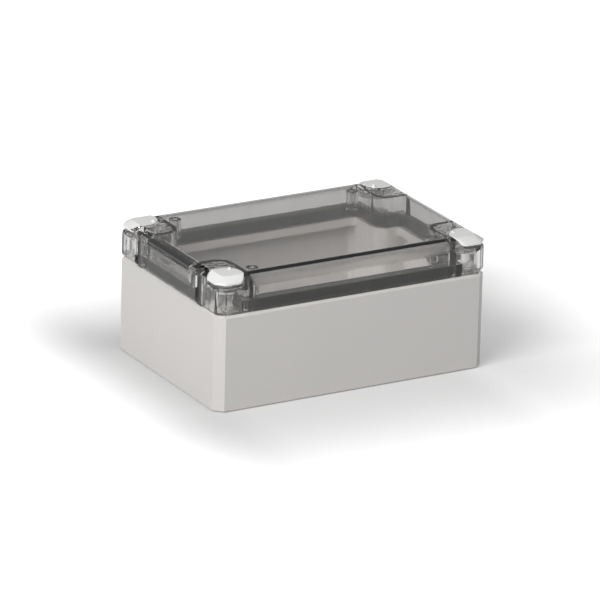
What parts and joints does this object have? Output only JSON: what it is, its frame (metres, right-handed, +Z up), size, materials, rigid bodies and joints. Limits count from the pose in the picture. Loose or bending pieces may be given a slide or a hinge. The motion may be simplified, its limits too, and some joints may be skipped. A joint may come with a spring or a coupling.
{
  "type": "hinged polycarbonate enclosure",
  "caption": "Rectangular plastic enclosure: grey base, clear lid hinged on one short side, dark seal and turning closures in the lid's corners.",
  "frame": {"origin": "centre of the underside of the base, on the surface that it stands on", "axes": "+X along the long side, away from the hinge; +Y towards the back long side; +Z up"},
  "size_m": [0.175, 0.12, 0.0806],
  "materials": {
    "base_grey": "fine satin, light warm grey polycarbonate",
    "lid_clear": "polished, clear with a faint smoke tint",
    "gasket_foam": "matt dark foamed seal",
    "rod_dark": "smooth dark rod with a soft shine",
    "arm_dark": "dark glass-filled plastic, satin",
    "spring_steel": "plain spring steel",
    "cap_white": "smooth white plastic, crisp facets",
    "spindle_natural": "natural plastic, slightly milky"
  },
  "bodies": {
    "base": {"base_shell": "base_grey", "hinge_rod": "rod_dark", "hinge_arm_front": "arm_dark", "hinge_arm_back": "arm_dark", "rod_clip_front": "spring_steel", "rod_clip_back": "spring_steel"},
    "lid": {"lid_shell": "lid_clear", "lid_gasket": "gasket_foam"},
    "closure_front_left": {"cap_front_left": "cap_white", "spindle_front_left": "spindle_natural", "lock_clip_front_left": "spring_steel"},
    "closure_front_right": {"cap_front_right": "cap_white", "spindle_front_right": "spindle_natural", "lock_clip_front_right": "spring_steel"},
    "closure_back_left": {"cap_back_left": "cap_white", "spindle_back_left": "spindle_natural", "lock_clip_back_left": "spring_steel"},
    "closure_back_right": {"cap_back_right": "cap_white", "spindle_back_right": "spindle_natural", "lock_clip_back_right": "spring_steel"}
  },
  "joints": [
    {"name": "lid_hinge", "type": "hinge", "parent": "base", "child": "lid", "pos_m": [-0.0853, 0, 0.076], "axis": [0, -1, 0], "range_deg": [0, 105]},
    {"name": "closure_front_left_turn", "type": "hinge", "parent": "lid", "child": "closure_front_left", "pos_m": [-0.0785, -0.051, 0.076], "axis": [0, 0, 1], "range_deg": [0, 90]},
    {"name": "closure_front_right_turn", "type": "hinge", "parent": "lid", "child": "closure_front_right", "pos_m": [0.0785, -0.051, 0.076], "axis": [0, 0, 1], "range_deg": [0, 90]},
    {"name": "closure_back_left_turn", "type": "hinge", "parent": "lid", "child": "closure_back_left", "pos_m": [-0.0785, 0.051, 0.076], "axis": [0, 0, 1], "range_deg": [0, 90]},
    {"name": "closure_back_right_turn", "type": "hinge", "parent": "lid", "child": "closure_back_right", "pos_m": [0.0785, 0.051, 0.076], "axis": [0, 0, 1], "range_deg": [0, 90]}
  ]
}
